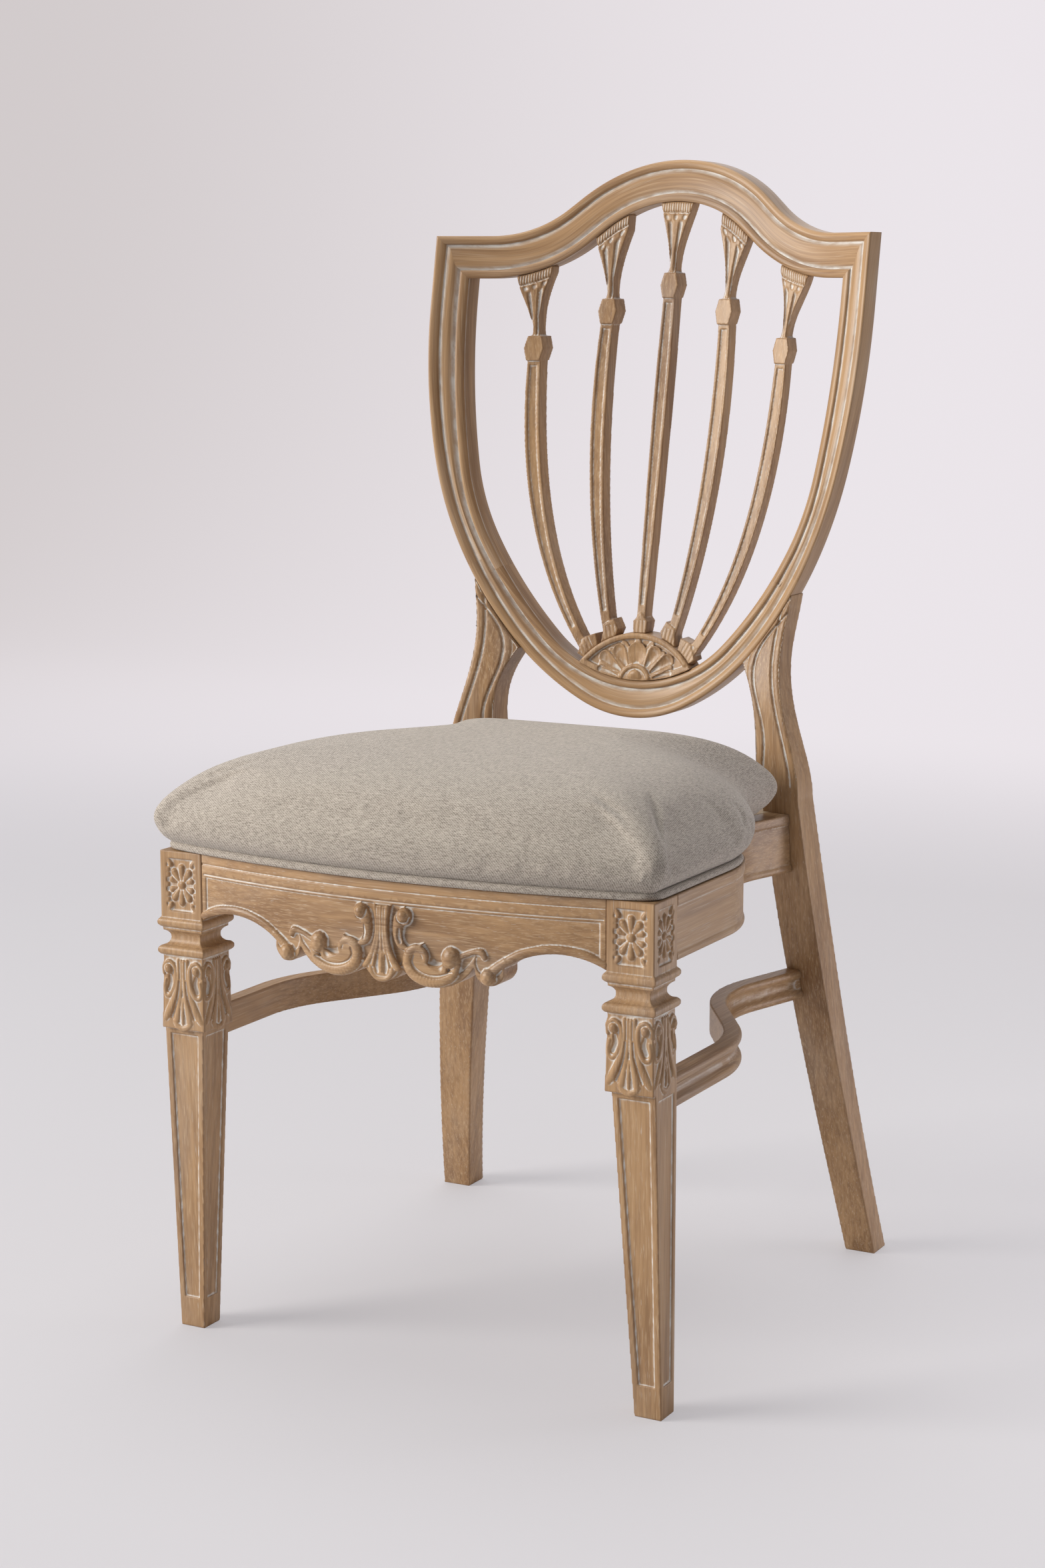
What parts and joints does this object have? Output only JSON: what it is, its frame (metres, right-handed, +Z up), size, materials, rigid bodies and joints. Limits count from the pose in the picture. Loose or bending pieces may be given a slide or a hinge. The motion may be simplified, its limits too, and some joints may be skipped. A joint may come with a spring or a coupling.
{
  "type": "dining chair",
  "caption": "Shield-back wooden dining chair with carved front rail, tapered front legs, sabre rear legs, curved side stretchers and an upholstered bell-shaped seat.",
  "frame": {"origin": "on the floor, under the middle of the overall box", "axes": "+Z up, the front of the chair towards -Y, +X to the right of someone facing the chair"},
  "size_m": [0.469, 0.5684, 0.966],
  "materials": {
    "limed_wood": "limed, satin wax",
    "bare_wood": "unfinished",
    "screw_steel": "zinc plated",
    "seat_fabric": "heathered twill"
  },
  "bodies": {
    "root": {"front_leg_left": "limed_wood", "front_leg_right": "limed_wood", "rear_leg_left": "limed_wood", "rear_leg_right": "limed_wood", "front_rail": "limed_wood", "rear_rail": "limed_wood", "side_rail_left": "limed_wood", "side_rail_right": "limed_wood", "stretcher_left": "limed_wood", "stretcher_right": "limed_wood", "crest_rail": "limed_wood", "shield_side_left": "limed_wood", "shield_side_right": "limed_wood", "shield_bow": "limed_wood", "fan": "limed_wood", "splat_1": "limed_wood", "splat_2": "limed_wood", "splat_3": "limed_wood", "splat_4": "limed_wood", "splat_5": "limed_wood", "dowels": "bare_wood", "corner_block_front_left": "bare_wood", "corner_block_front_right": "bare_wood", "corner_block_rear_left": "bare_wood", "corner_block_rear_right": "bare_wood", "seat_board": "bare_wood", "rail_screws": "screw_steel", "seat_screws": "screw_steel", "seat_cushion": "seat_fabric", "welt": "seat_fabric"}
  },
  "joints": []
}
